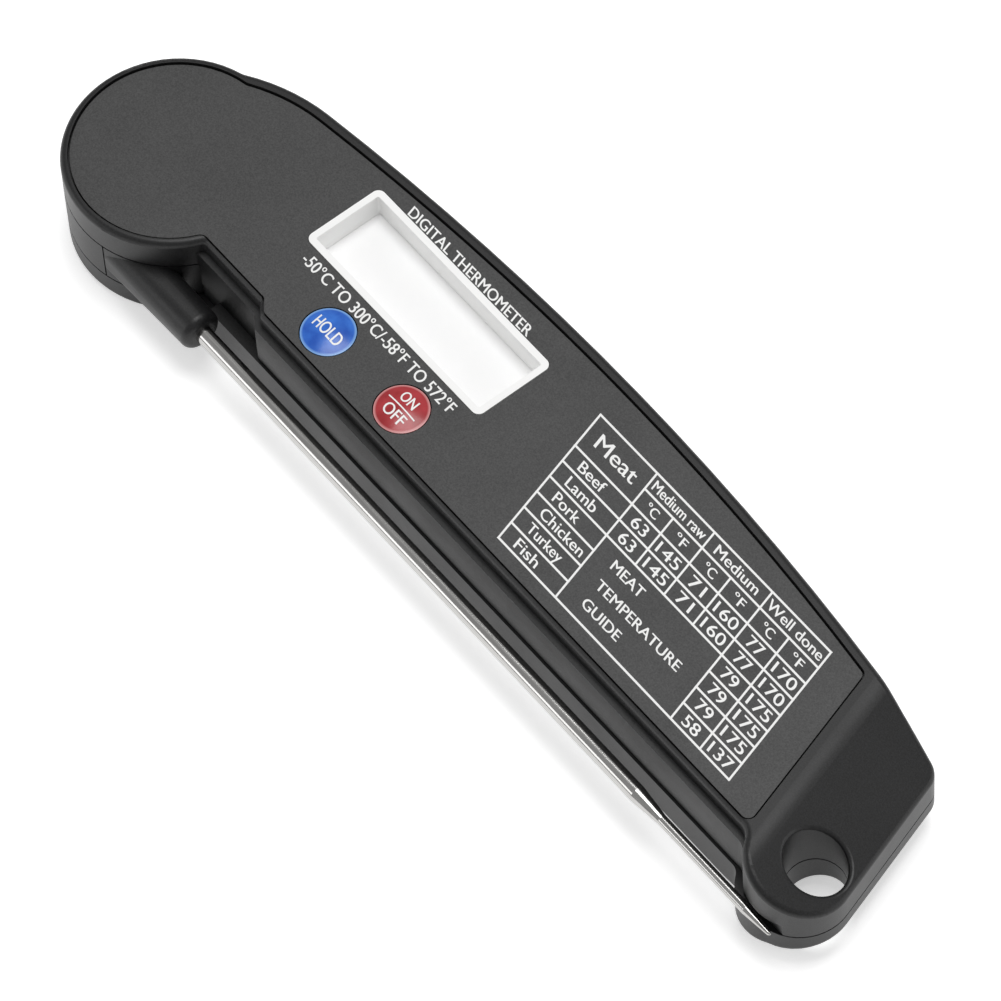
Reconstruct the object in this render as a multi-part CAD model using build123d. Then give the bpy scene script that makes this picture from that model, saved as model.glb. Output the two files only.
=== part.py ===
from build123d import *
import os
from math import atan2, cos, degrees, radians, sin, sqrt

os.makedirs("parts", exist_ok=True)

# Folding probe thermometer, in millimetres. The back rests on Z = 0, the face looks along +Z,
# the pivot is at the -X end and the hang hole at the +X end. The probe folds against the -Y side.

# ---- overall form of the case ----
case_thick = 16.2  # back to rim of the face
parting_z = 6.5  # plane where the two mouldings meet
wall = 1.6  # moulded wall
pivot_x = -64.5  # hinge axis, which is also the centre of the round head
pivot_y = -4.15
head_r = 15.45  # round head
crown_r = 452.0  # long arc of the back edge
crown_x = 4.0  # where that arc is highest
crown_y = 19.55  # how high it is there
shoulder_x = -56.0  # where the shoulder arc runs into the long arc
shoulder_r = 29.8
kink_r = 2.0  # hollow between round head and shoulder
boss_x = 72.6  # round lower corner of the tail
boss_y = -8.6
boss_r = 7.2
tail_slant = 17.4  # lean of the tail end
tail_corner_r = 3.0
channel_y = -12.55  # front moulding's wall that faces the folded probe
channel_blend_r = 3.0
rim_y = -11.5  # the same wall above the ledge
rear_y = -12.9  # the same wall of the rear moulding
ledge_z = 13.7
notch_rim_y = -10.0  # finger notch beside the arm, above the ledge
notch_wall_y = -11.05  # and below it
notch_x = -38.0  # end of the notch
notch_slope = 1.9  # run of the slope that ends it
notch_corner_r = 0.9
neck_r = 0.5  # corner between the notch and the round head
relief_x = -46.5  # cut in the rear moulding that lets the arm fold in
relief_y = -10.9
edge_r = 0.9  # rounding of the face's edge
back_edge_r = 1.1  # rounding of the back's edge
seam_depth = 0.3  # groove all round where the two mouldings meet
seam_w = 0.24

# ---- head slot and hub ----
slot_low_z = 4.0  # top of the rear disc
slot_high_z = 11.2  # underside of the front disc
hub_r = 15.45
hub_gap = 0.25  # hub to each disc
slot_wall_gap = 0.3  # hub to the curved wall behind it
slot_wall = 1.5
slot_open_x = -66.0  # the case's side wall starts here, which stops the open arm
trunnion_r = 4.0
trunnion_gap = 0.06  # running clearance
trunnion_high_z = 13.1
trunnion_low_z = 1.6
trunnion_bore_r = 2.2
washer_t = 0.4
washer_r = 7.5
washer_gap = 0.03

# ---- probe ----
rod_y = -16.15  # tube axis
rod_z = 7.7
rod_r = 1.25
tip_r = 0.75
taper_x = 49.0  # start of the reduction
taper_len = 5.0
rod_end_x = 75.9
point_len = 4.8
point_r = 0.3
tube_wall = 0.3
socket_r = 3.0  # moulded socket round the tube
socket_end_x = -43.2
socket_round = 1.2
arm_corner_r = 2.4  # rounding of the arm where it leaves the drum
arm_seam_angle = -77.6  # joint between drum and arm on the hub's band
arm_far_angle = -22.0  # the joint's other end, inside the case
arm_root_r = 9.0
lead_way = 1.6  # channel for the leads
lead_turn_x = -57.0
socket_depth = 12.0  # length of tube held in the arm
guard_x = 71.3  # rear moulding's guard under the tip
guard_y = -9.4
guard_r = 6.9
guard_blend_r = 2.0
tip_slot_y = -14.6  # groove that takes the tip
tip_slot_end_x = 76.8
tip_slot_top_z = 9.1
lead_r = 0.17
lead_gap = 0.25  # half the distance between the two leads

# ---- tail ----
hole_x = 73.8
hole_y = -6.9
hole_r = 4.2
hole_edge_r = 0.55
slope_start = 2.7  # from the label's end, along the tail
slope_bend_r = 6.0
slope_end_z = 10.35
slope_len = 16.5
lift_start = -2.0  # the back rises from here, along the tail
lift_end_z = 4.1  # how far it has risen at slope_len
lift_bend_r = 20.0

# ---- label ----
label_t = 0.35
label_sink = 0.25  # below the rim of the face
label_gap = 0.3  # groove round it
label_groove = 0.4  # how far the groove goes below the sheet
label_head_r = 14.1
label_crown_inset = 1.85
label_y = -10.74
label_notch_y = -9.25
label_end_x = 65.0  # lower corner of the slanted end
label_end_y = -10.05
label_slant = 16.6
label_corner_r = 1.0
label_neck_r = 1.3

# ---- display ----
window_x = -23.5  # centre
window_y = 7.03
window_w = 37.0
window_h = 12.56
window_corner_r = 1.1
bezel_border = 1.0
bezel_gap = 0.08
lens_t = 0.6
lens_sink = 0.35
lcd_face_z = 12.0
lcd_t = 1.8
lcd_over = 0.8  # how far the panel reaches under the bezel

# ---- board and switches ----
board_top_z = 8.0
board_t = 1.2
board_x0 = -42.4
board_x1 = -2.2
board_y0 = -9.9
board_y1 = 14.0
button_x = (-28.2, -12.4)  # hold, power
button_y = -6.1
button_r = 3.78
button_gap = 0.17
button_rise = 0.55  # dome above the label
button_flange = 0.6
button_travel = 0.4
switch_size = 5.0
switch_h = 3.1
plunger_r = 1.2
plunger_h = 0.7
button_play = 0.45  # cap's stem to the plunger

# ---- battery ----
cell_r = 5.25  # AAA
cell_len = 44.5
cell_nub_r = 1.9
cell_nub_len = 0.8
cell_y = 3.4
cell_gap = 0.35  # to the bay's walls
cell_lift = 0.25  # over the door
bay_x0 = 1.4  # inner face of the contact wall
spring_len = 4.2
spring_turns = 4
spring_wire_r = 0.3
spring_big_r = 3.2
spring_small_r = 2.0
contact_t = 0.4
contact_w = 7.0
contact_z0 = 2.4
contact_z1 = 10.4
tab_h = 2.0
plus_wire_y = -5.4
minus_wire_y = -1.6
wire_z = 9.2
wire_r = 0.4
wire_end_x = -3.1
rib_t = 1.1
door_t = 0.9
door_gap = 0.15
door_ledge = 1.0  # width of the ledge that the door lies on
ledge_ring_z = 2.0  # top of that ledge
ring_t = 1.2  # width of the raised ring round the opening
lip_gap = 0.35  # lip above the ledge
lip_t = 0.8
lip_w = 1.3
lip_reach = 0.8
grip_pitch = 1.6
grip_w = 0.7
grip_depth = 0.35

# ---- fasteners ----
screw_r = 1.0
screw_head_r = 1.9
screw_head_t = 1.2
screw_gap = 0.1
screw_boss_r = 2.5
screw_sink = 1.3
case_screw_len = 10.5
case_screw_at = ((-46.2, 10.0), (-45.2, -7.4), (56.2, 11.6), (56.4, -7.4))
board_screw_at = ((-38.6, -6.4), (-5.4, -2.6))
board_screw_len = 5.0
board_boss_r = 2.0

# ---- worked-out heights and places ----
label_top_z = case_thick - label_sink
label_seat_z = label_top_z - label_t
roof_z = label_seat_z - 1.2  # underside of the face's wall
cell_z = door_t + cell_lift + cell_r
cell_x0 = bay_x0 + contact_t + spring_len
cell_x1 = cell_x0 + cell_len - cell_nub_len
bay_x1 = cell_x1 + cell_nub_len + contact_t
opening_x0 = bay_x0 + contact_t + 0.3  # battery opening in the back
opening_x1 = bay_x1 - contact_t - 0.3
plunger_top = board_top_z + switch_h + plunger_h
tube_x0 = socket_end_x - socket_depth
bead_x1 = rod_end_x - point_len + 0.4
bead_x0 = bead_x1 - 1.5
slant = radians(label_slant)
slant_dir = (-sin(slant), cos(slant))
slant_normal = (cos(slant), sin(slant))
far = 400.0  # larger than anything here


# ---- helpers ----
def disc(x, y, r, z0, z1):
    """Round solid with a vertical axis."""
    return Pos(x, y, (z0 + z1) / 2) * Cylinder(r, z1 - z0)


def block(x0, x1, y0, y1, z0, z1):
    """Box between two corners."""
    return Pos((x0 + x1) / 2, (y0 + y1) / 2, (z0 + z1) / 2) * Box(x1 - x0, y1 - y0, z1 - z0)


def rod(x0, x1, y, z, r, r_end=None):
    """Round or tapered solid along X."""
    length = x1 - x0
    turned = Rotation(0, 90, 0)
    if r_end is None:
        return Pos((x0 + x1) / 2, y, z) * turned * Cylinder(r, length)
    return Pos((x0 + x1) / 2, y, z) * turned * Cone(r, r_end, length)


def prism(face, z0, z1):
    """Flat outline raised between two heights."""
    return extrude(Pos(0, 0, z0) * face, z1 - z0)


def on_crown(x, inset=0.0):
    """Point of the long back-edge arc, or of one inside it."""
    r = crown_r - inset
    return (x, crown_y - crown_r + sqrt(r * r - (x - crown_x) ** 2))


def tail_distance(point):
    """How far a point lies past the label's slanted end, along the tail."""
    return (point.X - label_end_x) * slant_normal[0] + (point.Y - label_end_y) * slant_normal[1]


def group(solids):
    """Separate solids kept together in one node."""
    return Compound(children=list(solids))


def save(node, shape):
    """Write one sub-part."""
    shape.label = node
    export_step(shape, f"parts/{node}.step")


def shoulder_centre():
    """Centre of the shoulder arc, which runs smoothly into the long arc."""
    x, y = on_crown(shoulder_x)
    share = shoulder_r / crown_r
    return (x + (crown_x - x) * share, y + (crown_y - crown_r - y) * share)


def circles_meet(c0, r0, c1, r1):
    """Left-hand point where two circles meet, seen from the second centre towards the first."""
    dx, dy = c0[0] - c1[0], c0[1] - c1[1]
    d = sqrt(dx * dx + dy * dy)
    along = (d * d + r1 * r1 - r0 * r0) / (2 * d)
    aside = sqrt(r1 * r1 - along * along)
    return (c1[0] + (dx * along - dy * aside) / d, c1[1] + (dy * along + dx * aside) / d)


def outline(round_r, inset, low_y, notch_y, end_point, end_angle, boss=None):
    """Plan of head and body: round head, shoulder and crown arcs, slanted end, straight lower wall."""
    centre = shoulder_centre()
    pivot = (pivot_x, pivot_y)
    kink = circles_meet(pivot, round_r, centre, shoulder_r - inset)
    kink_other = circles_meet(centre, shoulder_r - inset, pivot, round_r)
    kink = max(kink, kink_other, key=lambda p: p[1])
    shoulder = on_crown(shoulder_x + inset * (crown_x - shoulder_x) / crown_r, inset)
    mid_x, mid_y = (kink[0] + shoulder[0]) / 2 - centre[0], (kink[1] + shoulder[1]) / 2 - centre[1]
    push = (shoulder_r - inset) / sqrt(mid_x * mid_x + mid_y * mid_y)
    shoulder_mid = (centre[0] + mid_x * push, centre[1] + mid_y * push)
    # where the slanted end meets the crown arc
    e = radians(end_angle)
    up = (-sin(e), cos(e))
    r = crown_r - inset
    dx, dy = end_point[0] - crown_x, end_point[1] - crown_y + crown_r
    b = dx * up[0] + dy * up[1]
    t = -b + sqrt(b * b - (dx * dx + dy * dy - r * r))
    corner = (end_point[0] + t * up[0], end_point[1] + t * up[1])
    crown_mid = on_crown((shoulder[0] + corner[0]) / 2, inset)
    neck = (pivot_x + sqrt(round_r ** 2 - (notch_y - pivot_y) ** 2), notch_y)
    edges = [
        Line(pivot, kink),
        ThreePointArc(kink, shoulder_mid, shoulder),
        ThreePointArc(shoulder, crown_mid, corner),
    ]
    if boss:
        bx, by, br = boss
        low = (bx - sqrt(br * br - (low_y - by) ** 2), low_y)
        edges += [Line(corner, end_point), ThreePointArc(end_point, (bx, by - br), low)]
    else:
        low = (end_point[0] + (end_point[1] - low_y) * sin(e) / cos(e), low_y)
        edges.append(Line(corner, low))
    at = {"kink": kink, "corner": corner, "low": low, "neck": neck}
    if notch_y > low_y:
        at["notch_out"] = (notch_x + notch_slope, low_y)
        at["notch_in"] = (notch_x, notch_y)
        edges += [Line(low, at["notch_out"]), Line(at["notch_out"], at["notch_in"])]
        edges.append(Line(at["notch_in"], neck))
    else:
        edges.append(Line(low, neck))
    edges.append(Line(neck, pivot))
    return make_face(edges) + Pos(*pivot) * Circle(round_r), at


def round_corners(face, at, radii):
    """Round the named corners of a plan."""
    for name, radius in radii.items():
        if name in at:
            near = face.vertices().sort_by_distance(Vector(*at[name], 0))[0]
            face = fillet(near, radius)
    return face


def case_plan(low_y, notch_y):
    """Outline of the case at one level, with its corners rounded."""
    e = radians(tail_slant)
    end_point = (boss_x + boss_r * cos(e), boss_y + boss_r * sin(e))
    face, at = outline(head_r, 0.0, low_y, notch_y, end_point, tail_slant, (boss_x, boss_y, boss_r))
    return round_corners(face, at, {"kink": kink_r, "corner": tail_corner_r, "low": channel_blend_r,
                                    "notch_out": notch_corner_r, "notch_in": notch_corner_r, "neck": neck_r})


def label_plan():
    """Outline of the printed sheet."""
    face, at = outline(label_head_r, label_crown_inset, label_y, label_notch_y,
                       (label_end_x, label_end_y), label_slant)
    return round_corners(face, at, {"kink": kink_r, "corner": label_corner_r, "low": label_corner_r,
                                    "notch_out": notch_corner_r, "notch_in": notch_corner_r,
                                    "neck": label_neck_r})


def window_plan(border=0.0):
    """Display window, grown or shrunk by a border."""
    r = max(window_corner_r + border, 0.3)
    return Pos(window_x, window_y) * RectangleRounded(window_w + 2 * border, window_h + 2 * border, r)


def hub_slot(z0, z1):
    """Room for the hub and its arm between the discs, open at the head's outer side."""
    swept = disc(pivot_x, pivot_y, hub_r + slot_wall_gap, z0, z1)
    return swept + block(-far, slot_open_x, -far, far, z0, z1)


def inner_plan():
    """Plan of the case's inside."""
    inside = offset(case_plan(channel_y, notch_wall_y), -wall, kind=Kind.INTERSECTION)
    inside -= Pos(pivot_x, pivot_y) * Circle(hub_r + slot_wall_gap + slot_wall)
    inside -= Pos(-far / 2 + pivot_x, 0) * Rectangle(far, far)
    inside -= Pos(hole_x, hole_y) * Circle(hole_r + wall)
    return inside


def along_tail(heights, bend_r, closing_z):
    """Solid drawn across the tail from a bent line of (distance, height), closed at one height."""
    bent = FilletPolyline(*heights, radius=bend_r)
    closing = Polyline(bent @ 1, (heights[-1][0], closing_z), (heights[0][0], closing_z), bent @ 0)
    profile = make_face(bent.edges() + closing.edges())
    plane = Plane(origin=(label_end_x, label_end_y, 0), x_dir=(*slant_normal, 0),
                  z_dir=(-slant_dir[0], -slant_dir[1], 0))
    return extrude(plane * profile, 60, both=True)


def tail_cutter():
    """Everything above the tail's sloping top."""
    heights = [(-0.1, case_thick), (slope_start, case_thick), (slope_len, slope_end_z)]
    return along_tail(heights, slope_bend_r, case_thick + 5)


def lift_cutter(thick=0.0):
    """Everything below the rising back of the tail, or below the inside of its wall."""
    heights = [(lift_start - 4, thick), (lift_start, thick), (slope_len, lift_end_z + thick)]
    return along_tail(heights, lift_bend_r, -5)


def seam_ring(plan):
    """Thin groove round a plan where the mouldings meet, hang hole included."""
    outside = Rectangle(far, far) - offset(plan, -seam_depth, kind=Kind.INTERSECTION)
    outside += Pos(hole_x, hole_y) * Circle(hole_r + seam_depth)
    return prism(outside, parting_z, parting_z + seam_w)


def screw(x, y, seat_z, length):
    """Self-tapping screw driven from below: pan head with a cross recess under seat_z."""
    shank = disc(x, y, screw_r, seat_z - 0.2, seat_z + length)
    shank = chamfer(shank.edges().sort_by(Axis.Z)[-1], screw_r / 2)
    head = disc(x, y, screw_head_r, seat_z - screw_head_t, seat_z)
    head = fillet(head.edges().sort_by(Axis.Z)[0], screw_head_t / 3)
    cross = Box(screw_head_r * 1.3, 0.5, screw_head_t) + Box(0.5, screw_head_r * 1.3, screw_head_t)
    return shank + head - Pos(x, y, seat_z - screw_head_t) * cross


def lead(points, bends, r):
    """Round wire along straight runs joined by arcs."""
    path = FilletPolyline(*points, radius=bends)
    start = Plane(origin=path @ 0, z_dir=path % 0)
    return sweep(start * Circle(r), path=path)


# ---- edges that get rounded ----
def is_plain(edge):
    """Upright edges, and the lines that cross the tail where its surfaces bend."""
    box = edge.bounding_box()
    step = edge @ 1 - edge @ 0
    along = abs(step.X * slant_dir[0] + step.Y * slant_dir[1])
    across = edge.geom_type == GeomType.LINE and abs(along - step.length) < 1e-3
    return box.size.X + box.size.Y < 0.01 or (across and tail_distance(edge.center()) < slope_start + 5)


def is_face_edge(edge):
    """Edges round the outside of the face, sloping tail included."""
    box = edge.bounding_box()
    on_rim = box.min.Z > ledge_z + 0.1
    on_slope = tail_distance(edge.center()) > slope_start and box.min.Z > parting_z + 1
    return not is_plain(edge) and (on_rim or on_slope)


def is_back_edge(edge):
    """Edges round the outside of the back, rising tail included."""
    s = tail_distance(edge.center())
    rise = max(0, (s - lift_start) * lift_end_z / (slope_len - lift_start))
    return not is_plain(edge) and edge.center().Z < rise + 0.3


def is_hole_mouth(edge):
    """Edge where the hang hole leaves the tail's top or the back."""
    c = edge.center()
    box = edge.bounding_box()
    near = sqrt((c.X - hole_x) ** 2 + (c.Y - hole_y) ** 2) < hole_r + 0.1
    return near and box.size.X > 0.5 and (box.min.Z > parting_z + 1 or box.max.Z < parting_z - 1)


# ---- case ----
def make_front_case():
    lower = case_plan(channel_y, notch_wall_y)
    body = prism(lower, parting_z, ledge_z) + prism(case_plan(rim_y, notch_rim_y), ledge_z, case_thick)
    body -= tail_cutter()
    body = fillet([e for e in body.edges() if is_face_edge(e)], edge_r)
    body -= disc(hole_x, hole_y, hole_r, 0, case_thick)
    body = fillet([e for e in body.edges() if is_hole_mouth(e)], hole_edge_r)
    body -= seam_ring(lower)
    body -= hub_slot(parting_z - 1, slot_high_z)
    # inside, deep under the label and shallow under the tail
    inside = inner_plan()
    deep_end = label_end_x - 5.5
    body -= prism(inside & Pos(deep_end - far / 2, 0) * Rectangle(far, far), parting_z - 1, roof_z)
    shallow = inside & Pos(deep_end + wall + far / 2, 0) * Rectangle(far, far)
    body -= prism(shallow, parting_z - 1, slope_end_z - wall - 0.4)
    label = label_plan()
    body -= prism(offset(label, label_gap), label_seat_z, case_thick + 1)
    body -= prism(offset(label, label_gap) - label, label_seat_z - label_groove, case_thick)
    body -= prism(window_plan(bezel_gap), roof_z - 1, case_thick)
    for x in button_x:
        body -= disc(x, button_y, button_r + button_gap, roof_z - 1, case_thick)
    for x, y in case_screw_at:
        body += disc(x, y, screw_boss_r, parting_z, roof_z + 0.1)
        body -= disc(x, y, screw_r, parting_z - 1, roof_z - 0.5)
    for x, y in board_screw_at:
        body += disc(x, y, board_boss_r, board_top_z, roof_z + 0.1)
        body -= disc(x, y, screw_r, board_top_z - 1, roof_z - 1)
    # walls behind the battery contacts
    for x in (bay_x0 - rib_t, bay_x1):
        half = contact_w / 2
        body += block(x, x + rib_t, cell_y - half, cell_y + half, parting_z, roof_z + 0.1)
    # bearing for the upper trunnion, and the way of the leads through the front disc
    body -= disc(pivot_x, pivot_y, trunnion_r + trunnion_gap, slot_high_z - 1, trunnion_high_z + 0.1)
    way_end = pivot_x + hub_r + slot_wall_gap + slot_wall + 1
    half_way = lead_way / 2 + 0.2
    way = block(pivot_x, way_end, pivot_y - half_way, pivot_y + half_way, slot_high_z + 1.2, roof_z)
    body -= way + disc(pivot_x, pivot_y, half_way, slot_high_z + 1.2, roof_z)
    # groove that takes the probe's tip
    slot_start = boss_x - boss_r - channel_blend_r - 4
    return body - block(slot_start, tip_slot_end_x, -far, tip_slot_y, 0, tip_slot_top_z)


def door_box(margin, z0, z1):
    """Plan of the battery opening, grown by a margin."""
    half = cell_r + cell_gap + margin
    return block(opening_x0 - margin, opening_x1 + margin, cell_y - half, cell_y + half, z0, z1)


def lip_blocks(gap):
    """The two lips at the door's hinge end, grown by a gap."""
    blocks = []
    for side in (-1, 1):
        y = cell_y + side * (cell_r + cell_gap - lip_w / 2 - 0.3)
        y0, y1 = y - lip_w / 2 - gap, y + lip_w / 2 + gap
        low = ledge_ring_z + lip_gap
        top = low + lip_t + gap
        stem = block(opening_x1 - 1.3 - gap, opening_x1 - 0.3 + gap, y0, y1, door_t - 0.1, top)
        hook = block(opening_x1 - 1.3, opening_x1 + lip_reach + gap, y0, y1, low - gap, top)
        blocks.append(stem + hook)
    return blocks


def make_rear_case():
    plan = case_plan(rear_y, rear_y) + Pos(guard_x, guard_y) * Circle(guard_r)
    guard = Vector(guard_x, guard_y)
    joins = [v for v in plan.vertices() if abs((Vector(v.X, v.Y) - guard).length - guard_r) < 1e-3]
    plan = fillet(joins, guard_blend_r)
    body = prism(plan, 0, parting_z) - lift_cutter()
    body = fillet([e for e in body.edges() if is_back_edge(e)], back_edge_r)
    body -= disc(hole_x, hole_y, hole_r, -1, case_thick)
    body = fillet([e for e in body.edges() if is_hole_mouth(e)], hole_edge_r)
    body -= hub_slot(slot_low_z, parting_z + 1)
    body -= block(pivot_x, relief_x, -far, relief_y, slot_low_z, parting_z + 1)
    body -= prism(inner_plan(), wall, parting_z + 1) - lift_cutter(wall)
    # ring round the battery opening, side ribs and end walls of the bay
    body += door_box(door_ledge + ring_t, wall - 0.2, ledge_ring_z)
    half = cell_r + cell_gap
    outside = half + rib_t
    walls = block(bay_x0 - rib_t, bay_x1 + rib_t, cell_y - outside, cell_y + outside, wall, parting_z)
    body += walls - block(bay_x0, bay_x1, cell_y - half, cell_y + half, wall, parting_z)
    body -= door_box(0, -1, ledge_ring_z + 0.01)
    body -= door_box(door_ledge + door_gap, -1, door_t)
    for lip in lip_blocks(0.3):
        body -= lip
    for x, y in case_screw_at:
        body += disc(x, y, screw_boss_r, wall - 0.2, parting_z)
        body -= disc(x, y, screw_r + screw_gap, -1, parting_z + 1)
        body -= disc(x, y, screw_head_r + screw_gap, -1, screw_sink)
    # bearing for the lower trunnion
    return body - disc(pivot_x, pivot_y, trunnion_r + trunnion_gap, trunnion_low_z - 0.1, slot_low_z + 1)


def make_battery_door():
    plate = door_box(door_ledge, 0, door_t)
    plate = fillet(plate.edges().filter_by(Axis.Z), 0.6)
    ridges = 5
    for i in range(ridges):
        x = opening_x0 + 2 + i * grip_pitch
        plate -= block(x, x + grip_w, cell_y - cell_r / 2, cell_y + cell_r / 2, -1, grip_depth)
    # tongue that snaps behind the ledge at the free end
    tongue = block(opening_x0 + 0.1, opening_x0 + 0.9, cell_y - 2, cell_y + 2, door_t - 0.1, ledge_ring_z)
    for piece in [tongue] + lip_blocks(0):
        plate += piece
    return plate


# ---- face ----
def make_label():
    sheet = prism(label_plan(), label_seat_z, label_top_z)
    sheet -= prism(window_plan(bezel_gap), 0, case_thick)
    for x in button_x:
        sheet -= disc(x, button_y, button_r + button_gap, 0, case_thick)
    return sheet


def make_bezel():
    top = label_top_z + 0.1
    frame = prism(window_plan(), lcd_face_z + 0.05, top)
    frame += prism(window_plan(bezel_border), roof_z - 1.0, roof_z)
    return frame - prism(window_plan(-bezel_border), 0, case_thick)


def make_lens():
    top = label_top_z - lens_sink
    return prism(window_plan(-bezel_border - 0.05), top - lens_t, top)


def lcd_rect():
    over = lcd_over - bezel_border
    return window_w / 2 + over, window_h / 2 + over


def make_lcd():
    half_w, half_h = lcd_rect()
    x0, x1 = window_x - half_w, window_x + half_w
    y0, y1 = window_y - half_h, window_y + half_h
    return block(x0, x1, y0, y1, lcd_face_z - lcd_t, lcd_face_z)


def make_zebra():
    half_w, half_h = lcd_rect()
    y0 = window_y - half_h + 0.3
    x0, x1 = window_x - half_w + 1, window_x + half_w - 1
    return block(x0, x1, y0, y0 + 2, board_top_z, lcd_face_z - lcd_t)


def make_button(x):
    foot = roof_z - 0.05 - button_flange
    dome_top = label_top_z + button_rise
    edge_z = label_top_z - 0.05
    rise = dome_top - edge_z
    dome_r = (button_r ** 2 + rise ** 2) / (2 * rise)
    cap = disc(x, button_y, button_r, foot, dome_top)
    cap = cap & Pos(x, button_y, dome_top - dome_r) * Sphere(dome_r)
    cap += disc(x, button_y, button_r + 0.7, foot, foot + button_flange)
    return cap + disc(x, button_y, plunger_r, plunger_top + button_play, foot + 0.1)


# ---- board ----
def make_board():
    board = block(board_x0, board_x1, board_y0, board_y1, board_top_z - board_t, board_top_z)
    notch_end = notch_x + notch_slope + wall
    board -= block(board_x0 - 1, notch_end, board_y0 - 1, notch_wall_y + wall + 0.4, 0, case_thick)
    board = fillet(board.edges().filter_by(Axis.Z), 0.4)
    for x, y in board_screw_at:
        board -= disc(x, y, screw_r + screw_gap, 0, case_thick)
    return board


def make_switch(x):
    half = switch_size / 2
    base_top = board_top_z + switch_h
    base = block(x - half, x + half, button_y - half, button_y + half, board_top_z, base_top)
    base = chamfer(base.edges().filter_by(Axis.Z), 0.5)
    return base + disc(x, button_y, plunger_r, base_top - 0.1, plunger_top)


def make_blob():
    blob = disc(-20.0, 8.5, 3.5, board_top_z, board_top_z + 1.2)
    return fillet(blob.edges().sort_by(Axis.Z)[-1], 1.0)


def make_crystal():
    return fillet(rod(-36.0, -30.0, 9.0, board_top_z + 0.95, 0.95).edges(), 0.3)


def make_chips():
    spots = [(-28.0, 11.0), (-28.0, 8.6), (-12.0, 11.0), (-12.0, 8.6), (-12.0, 6.2)]
    return group(block(x, x + 1.6, y, y + 0.8, board_top_z, board_top_z + 0.7) for x, y in spots)


# ---- battery and wires ----
def make_cell():
    can = rod(cell_x0, cell_x1, cell_y, cell_z, cell_r)
    can = fillet(can.edges(), 0.5)
    return can + rod(cell_x1 - 0.1, cell_x1 + cell_nub_len, cell_y, cell_z, cell_nub_r)


def contact(x, wire_y):
    """Sheet contact with a tab for its wire."""
    half = contact_w / 2
    plate = block(x, x + contact_t, cell_y - half, cell_y + half, contact_z0, contact_z1)
    tab = block(x, x + contact_t, wire_y - 0.7, cell_y, wire_z - tab_h / 2, wire_z + tab_h / 2)
    return plate + tab


def make_spring_contact():
    plate = contact(bay_x0, minus_wire_y)
    base = bay_x0 + contact_t + spring_wire_r * 0.8
    rise = spring_len - 2 * spring_wire_r
    narrowing = degrees(atan2(spring_big_r - spring_small_r, rise))
    coil = Helix(pitch=rise / spring_turns, height=rise, radius=spring_big_r, cone_angle=-narrowing)
    wire = sweep(Plane(origin=coil @ 0, z_dir=coil % 0) * Circle(spring_wire_r), path=coil, is_frenet=True)
    placed = Pos(base, cell_y, cell_z) * Rotation(0, 90, 0) * wire
    return group([plate, placed])


def make_battery_leads():
    down = board_top_z
    plus = [(bay_x1 - contact_t, plus_wire_y, wire_z + 0.5), (wire_end_x, plus_wire_y, wire_z + 0.5),
            (wire_end_x, plus_wire_y, down)]
    minus = [(bay_x0, minus_wire_y, wire_z + 0.5), (wire_end_x, minus_wire_y, wire_z + 0.5),
             (wire_end_x, minus_wire_y, down)]
    return group([lead(plus, 1.0, wire_r), lead(minus, 1.0, wire_r)])


def make_board_leads():
    level = trunnion_high_z + 0.65
    wires = []
    for side in (-1, 1):
        x, y = pivot_x - side * lead_gap, pivot_y + side * lead_gap
        points = [(x, y, trunnion_high_z + 0.1), (x, y, level), (board_x0 + 1.8, y, level),
                  (board_x0 + 1.8, y, board_top_z)]
        wires.append(lead(points, [0.4, 1.5], lead_r))
    return group(wires)


# ---- probe ----
hub_z0 = slot_low_z + hub_gap
hub_z1 = slot_high_z - hub_gap


def arm_wedge():
    """Part of the hub that the arm fills, in plan."""
    reach = 60.0
    a, b = radians(arm_seam_angle), radians(arm_far_angle)
    corners = [(0, 0), (reach * cos(a), reach * sin(a)), (reach * cos(b), reach * sin(b))]
    wedge = Polygon(*corners, align=None)
    return Pos(pivot_x, pivot_y) * (wedge - Circle(arm_root_r))


def lead_channel():
    """Way of the leads from the tube's end to the pivot."""
    dx, dy = pivot_x - lead_turn_x, pivot_y - rod_y
    length = sqrt(dx * dx + dy * dy)
    middle = Pos(lead_turn_x + dx / 2, rod_y + dy / 2, rod_z)
    slant_run = middle * Rotation(0, 0, degrees(atan2(dy, dx))) * Box(length, lead_way, lead_way)
    straight = block(lead_turn_x - 0.8, tube_x0, rod_y - lead_way / 2, rod_y + lead_way / 2,
                     rod_z - lead_way / 2, rod_z + lead_way / 2)
    return slant_run + straight


def make_hub_drum():
    drum = disc(pivot_x, pivot_y, hub_r, hub_z0, hub_z1)
    drum -= prism(arm_wedge(), 0, case_thick)
    drum += disc(pivot_x, pivot_y, trunnion_r, trunnion_low_z, trunnion_high_z)
    room = washer_t + washer_gap
    ring = Pos(pivot_x, pivot_y) * (Circle(washer_r + 0.2) - Circle(trunnion_r))
    drum -= prism(ring, slot_high_z - room, slot_high_z) + prism(ring, slot_low_z, slot_low_z + room)
    drum -= disc(pivot_x, pivot_y, trunnion_bore_r, hub_z0 + 1.5, case_thick)
    return drum - lead_channel() - arm_seam()


def arm_seam():
    """Fine groove where the arm meets the drum on the hub's band."""
    place = Pos(pivot_x, pivot_y, rod_z) * Rotation(0, 0, arm_seam_angle) * Pos(hub_r, 0, 0)
    return place * Box(2 * seam_depth, seam_w, case_thick)


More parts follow.
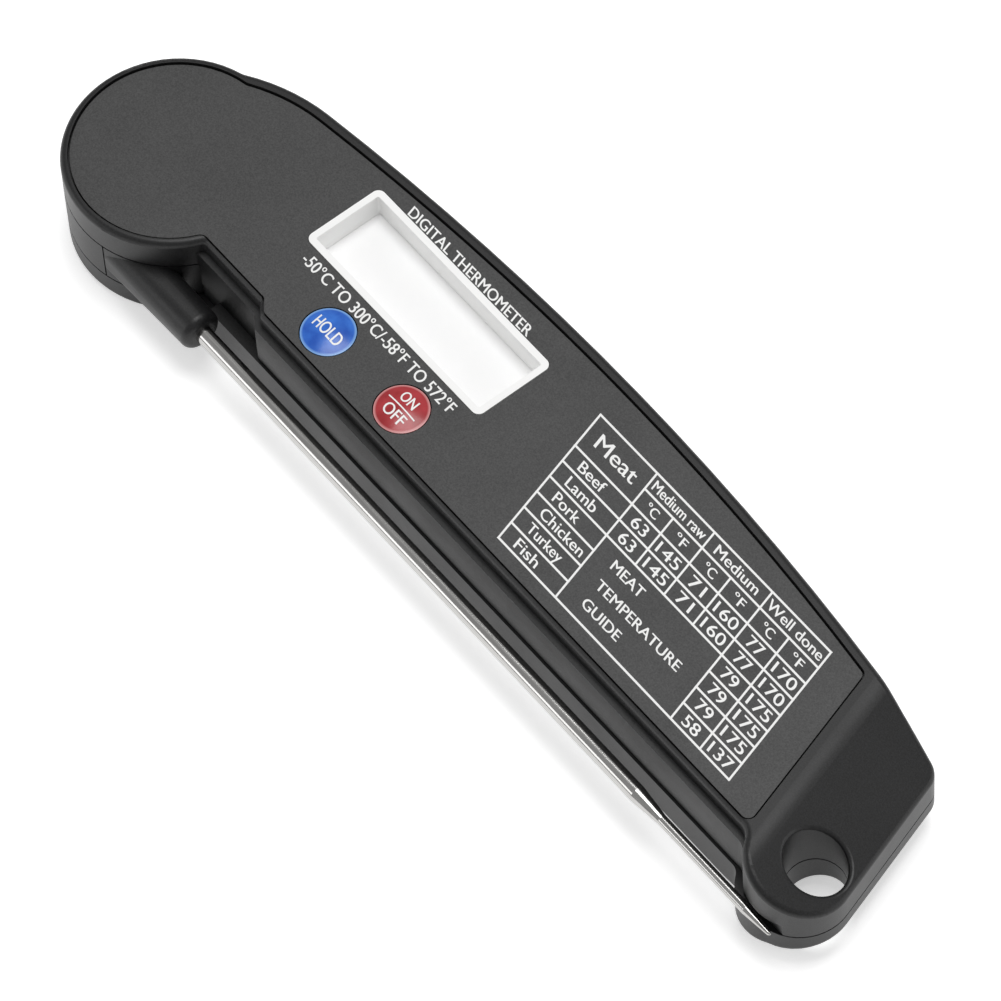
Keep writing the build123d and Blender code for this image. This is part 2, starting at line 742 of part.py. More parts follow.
def make_probe_arm():
    # body of the arm: a rounded oblong on the hub's band that narrows to the round socket
    a = radians(arm_seam_angle)
    root_x, outer_y = pivot_x + hub_r * cos(a), pivot_y + hub_r * sin(a)
    depth = 2 * (rod_y - outer_y)
    root = Plane(origin=(root_x, rod_y, (hub_z0 + hub_z1) / 2), x_dir=(0, 1, 0), z_dir=(1, 0, 0))
    end = Plane(origin=(socket_end_x, rod_y, rod_z), x_dir=(0, 1, 0), z_dir=(1, 0, 0))
    body = loft([root * RectangleRounded(depth, hub_z1 - hub_z0, arm_corner_r), end * Circle(socket_r)])
    body = fillet(body.faces().sort_by(Axis.X)[-1].edges(), socket_round)
    drum = Pos(pivot_x, pivot_y) * Circle(hub_r)
    arm = prism(drum & arm_wedge(), hub_z0, hub_z1) + body
    arm -= rod(tube_x0, socket_end_x + 1, rod_y, rod_z, rod_r)
    return arm - lead_channel() - arm_seam()


def tube_form(shrink, end_x):
    """Outside of the tube, or its bore when shrunk."""
    taper_end = taper_x + taper_len
    form = rod(tube_x0, taper_x, rod_y, rod_z, rod_r - shrink)
    form += rod(taper_x, taper_end, rod_y, rod_z, rod_r - shrink, tip_r - shrink)
    return form + rod(taper_end, end_x, rod_y, rod_z, tip_r - shrink)


def make_probe_tube():
    point_x = rod_end_x - point_len
    tube = tube_form(0, point_x) + rod(point_x, rod_end_x, rod_y, rod_z, tip_r, point_r)
    return tube - tube_form(tube_wall, bead_x1)


def make_bead():
    bead = rod(bead_x0, bead_x1, rod_y, rod_z, tip_r - tube_wall - 0.02)
    return fillet(bead.edges(), 0.12)


def make_probe_leads():
    wires = []
    for side in (-1, 1):
        x, y, z = pivot_x - side * lead_gap, pivot_y + side * lead_gap, rod_z - side * lead_gap
        points = [(bead_x0, rod_y, z), (lead_turn_x, rod_y, z), (x, y, z), (x, y, trunnion_high_z - 0.3)]
        wires.append(lead(points, [2.5, 1.0], lead_r))
    return group(wires)


def make_friction_washer():
    ring = disc(pivot_x, pivot_y, washer_r, slot_high_z - washer_t, slot_high_z)
    return ring - disc(pivot_x, pivot_y, trunnion_r + 0.15, 0, case_thick)


def make_spring_washer():
    inner = trunnion_r + 0.15
    thin = washer_t - 0.15
    top = slot_low_z + washer_t
    section = Polygon((inner, slot_low_z), (inner, slot_low_z + thin), (washer_r, top),
                      (washer_r, top - thin), align=None)
    return Pos(pivot_x, pivot_y) * revolve(Plane.XZ * section, Axis.Z)


# ---- build ----
pieces = {
    "front_case": make_front_case(),
    "rear_case": make_rear_case(),
    "battery_door": make_battery_door(),
    "label_plate": make_label(),
    "display_bezel": make_bezel(),
    "window_lens": make_lens(),
    "lcd_panel": make_lcd(),
    "zebra_strip": make_zebra(),
    "hold_button": make_button(button_x[0]),
    "power_button": make_button(button_x[1]),
    "circuit_board": make_board(),
    "hold_switch": make_switch(button_x[0]),
    "power_switch": make_switch(button_x[1]),
    "controller_blob": make_blob(),
    "crystal_can": make_crystal(),
    "chip_capacitors": make_chips(),
    "battery_cell": make_cell(),
    "battery_plate_contact": contact(bay_x1 - contact_t, plus_wire_y),
    "battery_spring_contact": make_spring_contact(),
    "battery_leads": make_battery_leads(),
    "board_leads": make_board_leads(),
    "case_screws": group(screw(x, y, screw_sink, case_screw_len) for x, y in case_screw_at),
    "board_screws": group(screw(x, y, board_top_z - board_t, board_screw_len) for x, y in board_screw_at),
    "friction_washer": make_friction_washer(),
    "spring_washer": make_spring_washer(),
    "hub_drum": make_hub_drum(),
    "probe_arm": make_probe_arm(),
    "probe_tube": make_probe_tube(),
    "sensor_bead": make_bead(),
    "probe_leads": make_probe_leads(),
}
for node, shape in pieces.items():
    save(node, shape)
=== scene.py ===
import math

import bmesh
import bpy
from mathutils import Matrix, Vector


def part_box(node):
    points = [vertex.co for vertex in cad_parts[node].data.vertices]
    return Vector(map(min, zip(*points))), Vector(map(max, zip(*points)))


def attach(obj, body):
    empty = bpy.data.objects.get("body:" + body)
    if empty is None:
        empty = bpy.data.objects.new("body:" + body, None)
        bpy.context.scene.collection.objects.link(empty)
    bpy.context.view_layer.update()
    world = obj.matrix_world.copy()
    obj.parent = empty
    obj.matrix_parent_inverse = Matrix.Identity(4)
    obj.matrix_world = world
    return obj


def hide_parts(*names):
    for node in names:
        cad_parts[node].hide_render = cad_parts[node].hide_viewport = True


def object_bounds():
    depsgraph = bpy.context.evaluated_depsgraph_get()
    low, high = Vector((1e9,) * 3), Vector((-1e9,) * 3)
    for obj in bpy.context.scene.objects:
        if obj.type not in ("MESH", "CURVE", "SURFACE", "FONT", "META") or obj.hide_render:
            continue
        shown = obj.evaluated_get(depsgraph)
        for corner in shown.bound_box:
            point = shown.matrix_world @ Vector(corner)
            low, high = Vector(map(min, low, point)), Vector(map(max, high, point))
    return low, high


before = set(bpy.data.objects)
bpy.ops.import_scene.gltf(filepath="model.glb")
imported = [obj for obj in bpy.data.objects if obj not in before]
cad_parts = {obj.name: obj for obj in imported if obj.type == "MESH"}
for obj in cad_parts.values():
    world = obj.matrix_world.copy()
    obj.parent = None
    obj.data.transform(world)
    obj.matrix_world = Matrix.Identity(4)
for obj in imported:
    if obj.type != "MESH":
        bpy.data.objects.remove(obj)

cad_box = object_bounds()
MM = 0.001

# ---- rear case ---------------------------------------------------------------------------------
# The lower half of the grip: black ABS, injection moulded in a spark-eroded tool, so its skin has
# a fine even grain. It holds the AAA cell, and four screws from the back clamp it to the front case.


def colour(hex_code):
    """sRGB hex to the linear RGBA that the shader takes."""
    channels = [int(hex_code[i:i + 2], 16) / 255 for i in (1, 3, 5)]
    linear = [c / 12.92 if c <= 0.04045 else ((c + 0.055) / 1.055) ** 2.4 for c in channels]
    return (*linear, 1.0)


def add(tree, kind, values=None, links=None, **settings):
    """Adds a node with its settings, its socket values and the links into it."""
    made = tree.nodes.new(kind)
    for name, value in settings.items():
        setattr(made, name, value)
    for socket, value in (values or {}).items():
        made.inputs[socket].default_value = value
    for socket, source in (links or {}).items():
        tree.links.new(source, made.inputs[socket])
    return made


def new_material(name, **shader_values):
    """A material that holds one Principled shader; returns the material, its tree and the shader."""
    made = bpy.data.materials.new(name)
    made.use_nodes = True
    tree = made.node_tree
    tree.nodes.clear()
    shader = add(tree, "ShaderNodeBsdfPrincipled")
    for socket, value in shader_values.items():
        shader.inputs[socket.replace("_", " ")].default_value = value
    add(tree, "ShaderNodeOutputMaterial", links={"Surface": shader.outputs["BSDF"]})
    return made, tree, shader


def pattern(tree, size_mm, detail=3.0, stretch=(1, 1, 1), rough=0.5):
    """Noise whose grains are size_mm across, fixed to the piece; returns its factor."""
    place = add(tree, "ShaderNodeTexCoord")
    spread = add(tree, "ShaderNodeMapping", {"Scale": stretch}, {"Vector": place.outputs["Object"]})
    settings = {"Scale": 1 / (size_mm * MM), "Detail": detail, "Roughness": rough}
    noise = add(tree, "ShaderNodeTexNoise", settings, {"Vector": spread.outputs["Vector"]})
    return noise.outputs["Fac"]


def between(tree, factor, low, high, start=0.3, end=0.7):
    """Turns a pattern into a value from low to high."""
    limits = {"From Min": start, "From Max": end, "To Min": low, "To Max": high}
    ramp = add(tree, "ShaderNodeMapRange", limits, {"Value": factor})
    return ramp.outputs["Result"]


def tint(tree, factor, dark, light):
    """Turns a pattern into a colour between two; each is a hex code or another node's colour."""
    mixed = add(tree, "ShaderNodeMix", data_type="RGBA")
    sockets = [socket for socket in mixed.inputs if socket.type == "RGBA"]
    for socket, shade in zip(sockets, (dark, light)):
        if isinstance(shade, str):
            socket.default_value = colour(shade)
        else:
            tree.links.new(shade, socket)
    tree.links.new(factor, mixed.inputs["Factor"])
    return next(s for s in mixed.outputs if s.type == "RGBA")


def raise_bumps(tree, shader, height, depth_mm, strength=1.0):
    """Feeds a height pattern to the shader's normal."""
    bump = add(tree, "ShaderNodeBump", {"Distance": depth_mm * MM, "Strength": strength}, {"Height": height})
    tree.links.new(bump.outputs["Normal"], shader.inputs["Normal"])
    return bump


def moulded_abs():
    """Black ABS: dense colour, satin grain from the tool, a few handling smears that shine."""
    made, tree, shader = new_material("moulded ABS", IOR=1.53, Specular_IOR_Level=0.34)
    smears = pattern(tree, 14.0, 4.0)
    # the tool's grain is about 0.1 mm; it is drawn at 0.2 mm so that it shows
    grain = pattern(tree, 0.2, 2.0, rough=0.7)
    base = tint(tree, between(tree, grain, 0, 1, 0.35, 0.65), "#0f0f0f", "#1f1f20")
    tree.links.new(base, shader.inputs["Base Color"])
    tree.links.new(between(tree, smears, 0.38, 0.46), shader.inputs["Roughness"])
    raise_bumps(tree, shader, grain, 0.012)
    return made


def finish(made, *nodes):
    """Gives CAD nodes their material."""
    for name in nodes:
        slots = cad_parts[name].data.materials
        slots.clear()
        slots.append(made)


abs_black = moulded_abs()
finish(abs_black, "rear_case")

# ---- battery door ------------------------------------------------------------------------------
# A thin snap-in cover over the cell, moulded in the same ABS, with grip ridges at its free end.
finish(abs_black, "battery_door")

# ---- case and board screws ---------------------------------------------------------------------
# Self-tapping pan-head screws, steel with a bright zinc plate.


def zinc_plated():
    """Zinc plate on steel: pale bluish metal, dull from its crystals."""
    made, tree, shader = new_material("zinc plated steel", Metallic=1.0)
    cloud = pattern(tree, 0.6)
    tree.links.new(tint(tree, cloud, "#9b9ea3", "#c3c5c8"), shader.inputs["Base Color"])
    tree.links.new(between(tree, cloud, 0.28, 0.45), shader.inputs["Roughness"])
    return made


zinc = zinc_plated()
finish(zinc, "case_screws", "board_screws", "spring_washer")

# ---- battery, contacts and wires ---------------------------------------------------------------
# One AAA cell in a plain dark sleeve between nickel-plated sheet and spring contacts, with PVC wires.


def sleeve():
    """Shrink sleeve on the cell: glossy plastic film, slightly wavy."""
    made, tree, shader = new_material("shrink sleeve", Roughness=0.25)
    wave = pattern(tree, 3.0)
    tree.links.new(tint(tree, wave, "#23282f", "#2c323b"), shader.inputs["Base Color"])
    raise_bumps(tree, shader, wave, 0.02)
    return made


def nickel_plated():
    """Nickel plate: warm white metal, nearly mirror bright."""
    made, tree, shader = new_material("nickel plate", Metallic=1.0)
    cloud = pattern(tree, 0.8)
    tree.links.new(tint(tree, cloud, "#b9b2a6", "#cfc9be"), shader.inputs["Base Color"])
    tree.links.new(between(tree, cloud, 0.18, 0.3), shader.inputs["Roughness"])
    return made


def wire_pvc():
    """PVC wire cover: red, soft satin."""
    made, tree, shader = new_material("PVC wire cover")
    cloud = pattern(tree, 0.5)
    tree.links.new(tint(tree, cloud, "#8e1f1b", "#a52a24"), shader.inputs["Base Color"])
    tree.links.new(between(tree, cloud, 0.4, 0.55), shader.inputs["Roughness"])
    return made


nickel = nickel_plated()
finish(sleeve(), "battery_cell")
finish(nickel, "battery_plate_contact", "battery_spring_contact", "crystal_can")
finish(wire_pvc(), "battery_leads", "board_leads", "probe_leads")

# ---- circuit board -----------------------------------------------------------------------------
# Glass-epoxy board with a green solder mask; its chip is under a blob of black epoxy.


def solder_mask():
    """Green lacquer over the glass weave of the board."""
    made, tree, shader = new_material("solder mask", Roughness=0.3)
    weave = pattern(tree, 0.4)
    tree.links.new(tint(tree, weave, "#0d3d1b", "#145026"), shader.inputs["Base Color"])
    raise_bumps(tree, shader, weave, 0.01)
    return made


def epoxy():
    """Black glob-top epoxy: gloss with a slight orange peel."""
    made, tree, shader = new_material("glob-top epoxy", Roughness=0.2)
    peel = pattern(tree, 1.2)
    tree.links.new(tint(tree, peel, "#0c0c0d", "#141415"), shader.inputs["Base Color"])
    raise_bumps(tree, shader, peel, 0.03)
    return made


def ceramic():
    """Barium titanate chips: tan, matt."""
    made, tree, shader = new_material("chip ceramic", Roughness=0.6)
    tree.links.new(tint(tree, pattern(tree, 0.2), "#8a6a4a", "#a58360"), shader.inputs["Base Color"])
    return made


def elastomer():
    """Silicone connector with its carbon stripes, too fine to see apart, so drawn at 0.5 mm."""
    made, tree, shader = new_material("silicone elastomer", Roughness=0.7)
    place = add(tree, "ShaderNodeTexCoord")
    pitch = 0.5 * MM
    stripes = add(tree, "ShaderNodeTexWave", {"Scale": 1 / pitch / 6.28}, {"Vector": place.outputs["Object"]})
    tree.links.new(tint(tree, stripes.outputs["Fac"], "#2a2a2a", "#c8c6c0"), shader.inputs["Base Color"])
    return made


finish(solder_mask(), "circuit_board")
finish(epoxy(), "controller_blob", "sensor_bead")
finish(ceramic(), "chip_capacitors")
finish(elastomer(), "zebra_strip")
finish(abs_black, "hold_switch", "power_switch")

# ---- front case --------------------------------------------------------------------------------
# The upper half, moulded in one with the disc over the pivot, the probe channel and the sloping tail.
finish(abs_black, "front_case")

# ---- display -----------------------------------------------------------------------------------
# A liquid crystal panel at the bottom of a white moulded frame, under a clear lens.


def white_styrene():
    """White ABS frame: bright, satin, with a faint flow mottle."""
    made, tree, shader = new_material("white ABS", IOR=1.53)
    mottle = pattern(tree, 2.0)
    tree.links.new(tint(tree, mottle, "#f1f1f0", "#f7f7f6"), shader.inputs["Base Color"])
    tree.links.new(between(tree, mottle, 0.4, 0.5), shader.inputs["Roughness"])
    return made


def polariser():
    """Reflective polariser of an unlit panel: near white with a silky sparkle."""
    made, tree, shader = new_material("LCD polariser", Roughness=0.35)
    silk = pattern(tree, 0.35, 2.0)
    tree.links.new(tint(tree, silk, "#fbfbfb", "#ffffff"), shader.inputs["Base Color"])
    raise_bumps(tree, shader, silk, 0.004)
    return made


def clear_lens():
    """Clear acrylic lens: lets light through, with a weak reflection from its outer faces only."""
    made = bpy.data.materials.new("clear acrylic")
    made.use_nodes = True
    tree = made.node_tree
    tree.nodes.clear()
    through = add(tree, "ShaderNodeBsdfTransparent", {"Color": colour("#ffffff")})
    shine = add(tree, "ShaderNodeBsdfGlossy", {"Roughness": 0.04})
    wave = pattern(tree, 9.0, 2.0)
    bump = add(tree, "ShaderNodeBump", {"Distance": 0.01 * MM}, {"Height": wave})
    tree.links.new(bump.outputs["Normal"], shine.inputs["Normal"])
    facing = add(tree, "ShaderNodeFresnel", {"IOR": 1.2})
    side = add(tree, "ShaderNodeNewGeometry")
    outer = add(tree, "ShaderNodeMath", {0: 1.0}, {1: side.outputs["Backfacing"]}, operation="SUBTRACT")
    share = add(tree, "ShaderNodeMath", links={0: facing.outputs["Fac"], 1: outer.outputs["Value"]},
                operation="MULTIPLY")
    mixed = add(tree, "ShaderNodeMixShader", links={0: share.outputs["Value"], 1: through.outputs["BSDF"],
                                                    2: shine.outputs["BSDF"]})
    add(tree, "ShaderNodeOutputMaterial", links={"Surface": mixed.outputs["Shader"]})
    return made


white_abs = white_styrene()
finish(white_abs, "display_bezel", "friction_washer")
finish(polariser(), "lcd_panel")
finish(clear_lens(), "window_lens")

# ---- label -------------------------------------------------------------------------------------
# A grey polycarbonate film with a fine velvet grain, printed in white and glued into its recess.

label_low, label_high = (Vector(v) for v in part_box("label_plate"))
label_z = label_high.z
print_lift = 0.012 * MM
lean = 0.285  # the printing leans back: x per y
slight_lean = 0.12  # the range line and the buttons' words lean less
copy_lift = 0.002 * MM  # between the copies that widen a stroke


def label_film():
    """Velvet-grained film: mid grey, matt, with a fine sparkle from its texture."""
    made, tree, shader = new_material("printed polycarbonate film", IOR=1.58)
    speck = pattern(tree, 0.22, 3.0, rough=0.7)
    tree.links.new(tint(tree, between(tree, speck, 0, 1, 0.35, 0.65), "#1c1c1c", "#3a3a3a"),
                   shader.inputs["Base Color"])
    tree.links.new(between(tree, pattern(tree, 10.0), 0.5, 0.58), shader.inputs["Roughness"])
    # the velvet grain is about 0.05 mm; it is drawn at 0.22 mm so that it shows
    raise_bumps(tree, shader, speck, 0.014)
    return made


def screen_ink():
    """White screen ink: opaque and matt, a little uneven."""
    made, tree, shader = new_material("white screen ink", Roughness=0.5)
    uneven = pattern(tree, 0.3)
    tree.links.new(tint(tree, uneven, "#e9e9e8", "#f4f4f3"), shader.inputs["Base Color"])
    return made


finish(label_film(), "label_plate")
ink = screen_ink()


def shape_of(curve_data):
    """The mesh of a text or curve, with the curve thrown away."""
    holder = bpy.data.objects.new("holder", curve_data)
    bpy.context.scene.collection.objects.link(holder)
    bpy.context.view_layer.update()
    evaluated = holder.evaluated_get(bpy.context.evaluated_depsgraph_get())
    mesh = bpy.data.meshes.new_from_object(evaluated)
    bpy.data.objects.remove(holder)
    return mesh


def joined(meshes):
    """Several meshes as one."""
    work = bmesh.new()
    for mesh in meshes:
        work.from_mesh(mesh)
    out = bpy.data.meshes.new("print")
    work.to_mesh(out)
    work.free()
    return out


def letters(text, width, height, heavier=0.035 * MM):
    """Flat lettering fitted to a width and height and centred on the origin, in metres.

    Its strokes are widened by three copies side by side, each a hair above the last.
    """
    data = bpy.data.curves.new("text", "FONT")
    data.body = text
    data.align_x = "CENTER"
    mesh = shape_of(data)
    xs = [v.co.x for v in mesh.vertices]
    ys = [v.co.y for v in mesh.vertices]
    fit_x = (width - 2 * heavier) / (max(xs) - min(xs))
    fit_y = height / (max(ys) - min(ys))
    middle = Vector(((max(xs) + min(xs)) / 2, (max(ys) + min(ys)) / 2, 0))
    for v in mesh.vertices:
        v.co = Vector(((v.co.x - middle.x) * fit_x, (v.co.y - middle.y) * fit_y, 0))
    copies = []
    for side in (-1, 0, 1):
        shifted = mesh.copy()
        shifted.transform(Matrix.Translation((side * heavier, 0, (side + 1) * copy_lift)))
        copies.append(shifted)
    return joined(copies)


def piece(name, mesh, made, body):
    """An object of the scene that rides on a body."""
    mesh.materials.clear()
    mesh.materials.append(made)
    shown = bpy.data.objects.new(name, mesh)
    bpy.context.scene.collection.objects.link(shown)
    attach(shown, body)
    return shown


def put(mesh, x, y, slope=lean):
    """Leans lettering back and lays it on the label at x, y in millimetres."""
    for v in mesh.vertices:
        v.co = Vector((v.co.x - slope * v.co.y + x * MM, v.co.y + y * MM, v.co.z + label_z + print_lift))
    return mesh


def bar(x0, y0, x1, y1, width, lift):
    """A printed line between two points, in millimetres."""
    run = Vector((x1 - x0, y1 - y0))
    side = Vector((-run.y, run.x)).normalized() * width / 2
    along = run.normalized() * width / 2
    a, b = Vector((x0, y0)) - along, Vector((x1, y1)) + along
    corners = [a - side, b - side, b + side, a + side]
    mesh = bpy.data.meshes.new("bar")
    mesh.from_pydata([(c.x * MM, c.y * MM, label_z + lift) for c in corners], [], [(0, 1, 2, 3)])
    return mesh


# the two lines beside the display
title = put(letters("DIGITAL THERMOMETER", 25.6 * MM, 1.6 * MM), -23.7, 14.3)
reach = put(letters("-50°C TO 300°C/-58°F TO 572°F", 31.8 * MM, 1.9 * MM), -23.8, -1.0, slight_lean)
piece("label_title", title, ink, "case")
piece("label_range", reach, ink, "case")

# temperature guide: a leaning table of eight rows
table_top, table_bottom = 13.4, -8.7
row_h = (table_top - table_bottom) / 8
table_x = 5.05
first_w = 11.85
column_w = 5.92
line_w = 0.3


def at(column, row):
    """Corner of the table: column 0 is the left edge, 1 the names' right edge, 2 to 7 the figures'."""
    y = table_top - row * row_h
    x = table_x + (0 if column == 0 else first_w + (column - 1) * column_w)
    return x + lean * (table_top - y), y


def rule(column0, row0, column1, row1):
    """A table line from one corner to another; the upright ones lie on the level ones."""
    lift = print_lift * (1.4 if column0 == column1 else 1)
    return bar(*at(column0, row0), *at(column1, row1), line_w, lift)


rules = [rule(0, 0, 7, 0), rule(0, 8, 7, 8), rule(0, 0, 0, 8), rule(7, 0, 7, 8), rule(1, 0, 1, 8)]
rules += [rule(1, 1, 7, 1), rule(0, 2, 7, 2), rule(0, 3, 7, 3), rule(0, 4, 7, 4)]
rules += [rule(0, row, 1, row) for row in (5, 6, 7)]
rules += [rule(5, row, 7, row) for row in (5, 6, 7)]
rules += [rule(3, 0, 3, 4), rule(5, 0, 5, 8)]
rules += [rule(2, 1, 2, 4), rule(4, 1, 4, 4), rule(6, 1, 6, 8)]
piece("guide_rules", joined(rules), ink, "case")


def cell(text, column0, column1, row0, row1, width, height):
    """Lettering in the middle of a field of the table."""
    left, top = at(column0, row0)
    right, low = at(column1, row1)
    return put(letters(text, width * MM, height * MM), (left + right) / 2, (top + low) / 2)


words = [put(letters("Meat", 7.9 * MM, 2.2 * MM), 11.85, 10.7)]
for row, (name, width) in enumerate([("Beef", 5.0), ("Lamb", 5.9), ("Pork", 5.0), ("Chicken", 8.5),
                                     ("Turkey", 6.7), ("Fish", 4.5)], start=2):
    x, y = at(0, row + 0.5)
    drop = 0.22 if name == "Turkey" else 0
    words.append(put(letters(name, width * MM, (1.6 + 2 * drop) * MM), x + 2.4 + width / 2, y - drop))
for column, (name, width) in zip((1, 3, 5), [("Medium raw", 10.5), ("Medium", 8.6), ("Well done", 10.8)]):
    words.append(cell(name, column, column + 2, 0, 1, width, 1.5))
    words.append(cell("°C", column, column + 1, 1, 2, 2.2, 1.45))
    words.append(cell("°F", column + 1, column + 2, 1, 2, 2.2, 1.45))
for row in (2, 3):
    for column, figure in enumerate(("63", "145", "71", "160", "77", "170"), start=1):
        words.append(cell(figure, column, column + 1, row, row + 1, 1.45 * len(figure), 1.65))
for row, (low_figure, high_figure) in enumerate([("79", "175")] * 3 + [("58", "137")], start=4):
    words.append(cell(low_figure, 5, 6, row, row + 1, 2.95, 1.65))
    words.append(cell(high_figure, 6, 7, row, row + 1, 4.3, 1.65))
for name, left, y, width in [("MEAT", 24.0, 0.25, 6.2), ("TEMPERATURE", 25.0, -3.1, 16.8),
                             ("GUIDE", 26.0, -6.2, 7.3)]:
    words.append(put(letters(name, width * MM, 1.5 * MM), left + width / 2, y))
piece("guide_words", joined(words), ink, "case")

# ---- push buttons ------------------------------------------------------------------------------
# Two domed caps in tinted acrylic with white lettering; a press closes the switch below.

cap_r = 3.78  # the dome's rim, in millimetres
rim_sunk = 0.05  # the rim below the label's face


def tinted_acrylic(name, node, deep, bright, painted_glint):
    """Tinted acrylic cap: deep gloss, a mottle of deep and bright tints painted for light scattered inside,
    and a pale painted highlight in a ring just inside its thin edge.
    """
    made, tree, shader = new_material(name, Roughness=0.22, IOR=1.49, Specular_IOR_Level=0.4)
    points = [v.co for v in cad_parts[node].data.vertices]
    middle = [(min(p[i] for p in points) + max(p[i] for p in points)) / 2 for i in (0, 1)]
    place = add(tree, "ShaderNodeTexCoord")
    across = add(tree, "ShaderNodeVectorMath", {1: (*middle, 0)}, {0: place.outputs["Object"]},
                 operation="SUBTRACT")
    level = add(tree, "ShaderNodeVectorMath", {1: (1, 1, 0)}, {0: across.outputs["Vector"]},
                operation="MULTIPLY")
    away = add(tree, "ShaderNodeVectorMath", links={0: level.outputs["Vector"]}, operation="LENGTH")
    # the ring just inside the cap's edge, where a pale painted highlight is mixed over the body's colour
    rim = between(tree, away.outputs["Value"], 0, 1, (cap_r - 0.4) * MM, (cap_r - 0.1) * MM)
    body = tint(tree, between(tree, pattern(tree, 2.5), 0, 1), deep, bright)
    tree.links.new(tint(tree, rim, body, painted_glint), shader.inputs["Base Color"])
    raise_bumps(tree, shader, pattern(tree, 4.0), 0.02)
    return made


# the third colour of each cap is its painted highlight, a pale ring around the edge
finish(tinted_acrylic("blue acrylic", "hold_button", "#1d50b0", "#3975d2", "#7ba8e0"), "hold_button")
finish(tinted_acrylic("red acrylic", "power_button", "#8f2327", "#b03a40", "#d08e8e"), "power_button")


def diced(mesh, step_mm=0.35, cuts=9):
    """Cuts a flat mesh into small squares so that it can follow a dome; the cuts pass the widest word."""
    work = bmesh.new()
    work.from_mesh(mesh)
    for axis in (Vector((1, 0, 0)), Vector((0, 1, 0))):
        for i in range(-cuts, cuts + 1):
            whole = work.verts[:] + work.edges[:] + work.faces[:]
            place = axis * i * step_mm * MM
            bmesh.ops.bisect_plane(work, geom=whole, dist=1e-7, plane_co=place, plane_no=axis)
    work.to_mesh(mesh)
    work.free()
    return mesh


def on_dome(mesh, node):
    """Lays lettering on a button's dome, which is a part of a ball."""
    diced(mesh)
    low, high = (Vector(v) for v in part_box(node))
    centre = (low + high) / 2
    rise = high.z - (label_z - rim_sunk * MM)
    ball_r = ((cap_r * MM) ** 2 + rise ** 2) / (2 * rise)
    for v in mesh.vertices:
        x = v.co.x - slight_lean * v.co.y
        reach_out = math.hypot(x, v.co.y)
        z = high.z - ball_r + math.sqrt(ball_r ** 2 - reach_out ** 2) + print_lift + v.co.z
        v.co = Vector((centre.x + x, centre.y + v.co.y, z))
    return mesh


def moved(mesh, y_mm):
    """The same mesh, shifted along y."""
    for v in mesh.vertices:
        v.co.y += y_mm * MM
    return mesh


hold_word = on_dome(letters("HOLD", 5.1 * MM, 1.9 * MM), "hold_button")
piece("hold_lettering", hold_word, ink, "hold_button")
divider = bpy.data.meshes.new("divider")
steps = 12
half_w, half_h = 2.7 * MM, 0.1 * MM
edge = [(-half_w + 2 * half_w * i / steps, s * half_h, 0) for s in (-1, 1) for i in range(steps + 1)]
divider.from_pydata(edge, [], [(i, i + 1, i + steps + 2, i + steps + 1) for i in range(steps)])
power_words = joined([moved(letters("ON", 2.8 * MM, 1.65 * MM), 1.45), divider,
                      moved(letters("OFF", 3.9 * MM, 1.7 * MM), -1.35)])
piece("power_lettering", on_dome(power_words, "power_button"), ink, "power_button")

# ---- hub and arm -------------------------------------------------------------------------------
# The drum and the arm that holds the tube, in the same black ABS as the case.
finish(abs_black, "hub_drum", "probe_arm")

# ---- probe tube --------------------------------------------------------------------------------
# Drawn stainless tube, swaged down near the tip and polished along its length.


def polished_stainless():
    """Polished stainless: bright grey metal with fine lengthwise draw lines."""
    made, tree, shader = new_material("polished stainless", Metallic=1.0)
    lines = pattern(tree, 0.12, 3.0, (0.02, 1, 1))
    tree.links.new(tint(tree, lines, "#a9a8a6", "#c2c1bf"), shader.inputs["Base Color"])
    tree.links.new(between(tree, lines, 0.1, 0.2), shader.inputs["Roughness"])
    raise_bumps(tree, shader, lines, 0.002)
    return made


def turned(name, profile, steps=72):
    """Round mesh along X from (x, radius) stations; each station keeps its crease."""
    low, high = (Vector(v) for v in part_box("probe_tube"))
    y, z = (low.y + high.y) / 2, (low.z + high.z) / 2
    work = bmesh.new()
    rings = []
    for x, r in profile:
        angles = [2 * math.pi * i / steps for i in range(steps)]
        rings.append([work.verts.new((x, y + r * math.cos(a), z + r * math.sin(a))) for a in angles])
    for near, past in zip(rings, rings[1:]):
        for i in range(steps):
            j = (i + 1) % steps
            work.faces.new((near[i], near[j], past[j], past[i])).smooth = True
    for ring in rings[1:-1]:
        for i in range(steps):
            work.edges.get((ring[i], ring[(i + 1) % steps])).smooth = False
    work.faces.new(rings[0])
    work.faces.new(reversed(rings[-1]))
    mesh = bpy.data.meshes.new(name)
    work.to_mesh(mesh)
    work.free()
    return mesh


tube_low, tube_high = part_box("probe_tube")
tube_r = (tube_high[1] - tube_low[1]) / 2 - 0.002 * MM
stations = [(tube_low[0] + 0.002 * MM, tube_r), (49.0 * MM, tube_r), (54.0 * MM, 0.75 * MM),
            (tube_high[0] - 4.8 * MM, 0.75 * MM), (tube_high[0] - 0.25 * MM, 0.3 * MM),
            (tube_high[0] - 0.002 * MM, 0.12 * MM)]
tube = piece("turned_tube", turned("turned_tube", stations), polished_stainless(), "probe")
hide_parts("probe_tube")

# ---- floor, light and camera -------------------------------------------------------------------


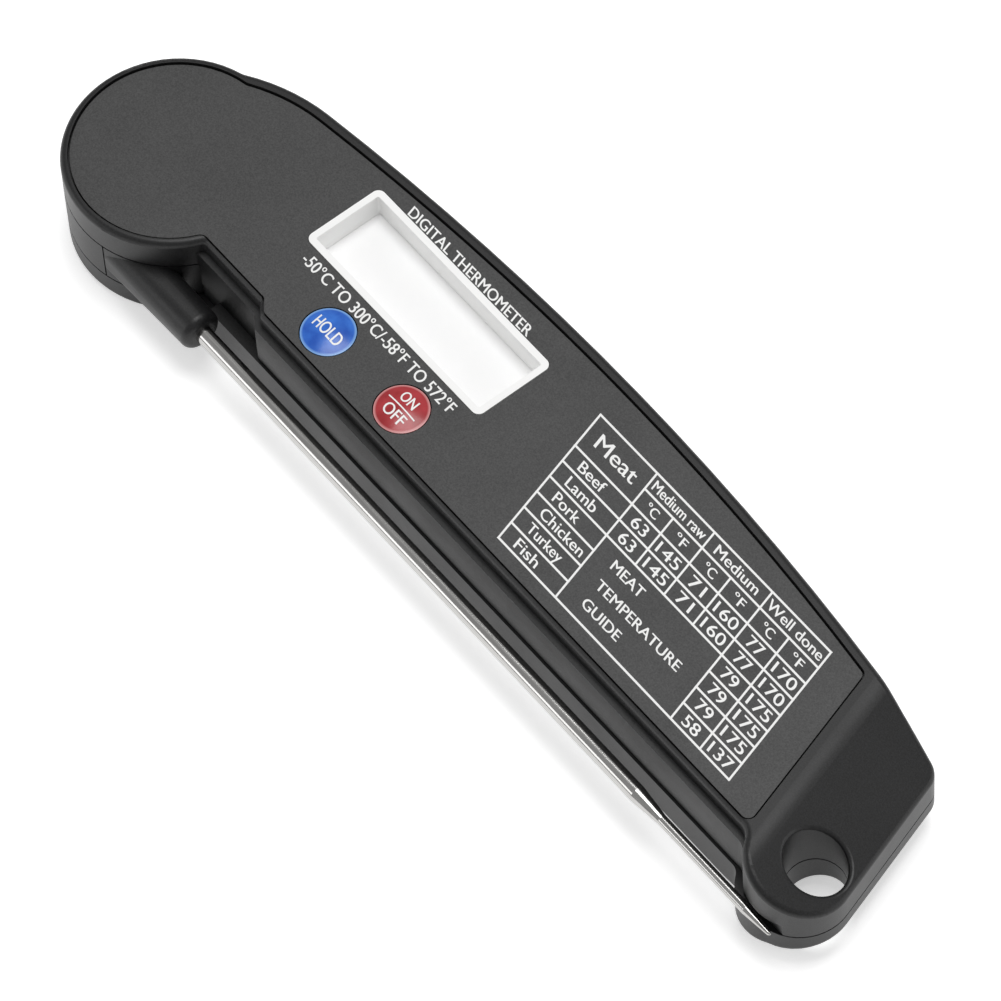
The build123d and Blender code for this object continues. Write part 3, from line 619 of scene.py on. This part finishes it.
def stage_floor():
    """Pale floor, large enough to fill every view."""
    size = 4.0
    mesh = bpy.data.meshes.new("floor")
    z = cad_box[0][2] - 0.0002
    corners = [(-size, -size, z), (size, -size, z), (size, size, z), (-size, size, z)]
    mesh.from_pydata(corners, [], [(0, 1, 2, 3)])
    made, tree, shader = new_material("floor paint", Roughness=0.9, Specular_IOR_Level=0.1)
    shader.inputs["Base Color"].default_value = colour("#fbfbfb")
    shader.inputs["Emission Color"].default_value = colour("#ffffff")
    shader.inputs["Emission Strength"].default_value = 0.45
    mesh.materials.append(made)
    floor = bpy.data.objects.new("floor", mesh)
    bpy.context.scene.collection.objects.link(floor)


def area_light(name, place, aim, size, power):
    """A soft box at a place, turned to what it lights."""
    data = bpy.data.lights.new(name, "AREA")
    data.shape = "RECTANGLE"
    data.size, data.size_y = size
    data.energy = power
    lamp = bpy.data.objects.new(name, data)
    lamp.location = place
    lamp.rotation_euler = (Vector(aim) - Vector(place)).to_track_quat("-Z", "Y").to_euler()
    bpy.context.scene.collection.objects.link(lamp)


stage_floor()
area_light("overhead", (-0.1, 0.25, 1.5), (0, 0, 0), (0.8, 0.8), 12)
area_light("left", (-0.6, -0.7, 0.35), (0, 0, 0), (0.7, 0.35), 1.6)
area_light("right", (0.65, 0.55, 0.3), (0, 0, 0), (0.7, 0.3), 1.3)
sky = bpy.data.worlds.new("studio")
sky.use_nodes = True
sky.node_tree.nodes["Background"].inputs["Color"].default_value = (1, 1, 1, 1)
sky.node_tree.nodes["Background"].inputs["Strength"].default_value = 0.42
bpy.context.scene.world = sky
bpy.context.scene.view_settings.view_transform = "Standard"

# the camera looks down at about 58 degrees from a little over a metre away
eye = bpy.data.cameras.new("camera")
eye.sensor_width = 36.0
eye.lens = 296.0
camera = bpy.data.objects.new("camera", eye)
right = Vector((0.62070, 0.78305, -0.03957))
up = Vector((-0.65006, 0.54218, 0.53241))
back = Vector((0.43836, -0.30474, 0.84556))
facing = Matrix((right, up, back)).transposed().to_4x4()
camera.matrix_world = Matrix.Translation((0.4775, -0.3320, 0.9234)) @ facing
bpy.context.scene.collection.objects.link(camera)
bpy.context.scene.camera = camera
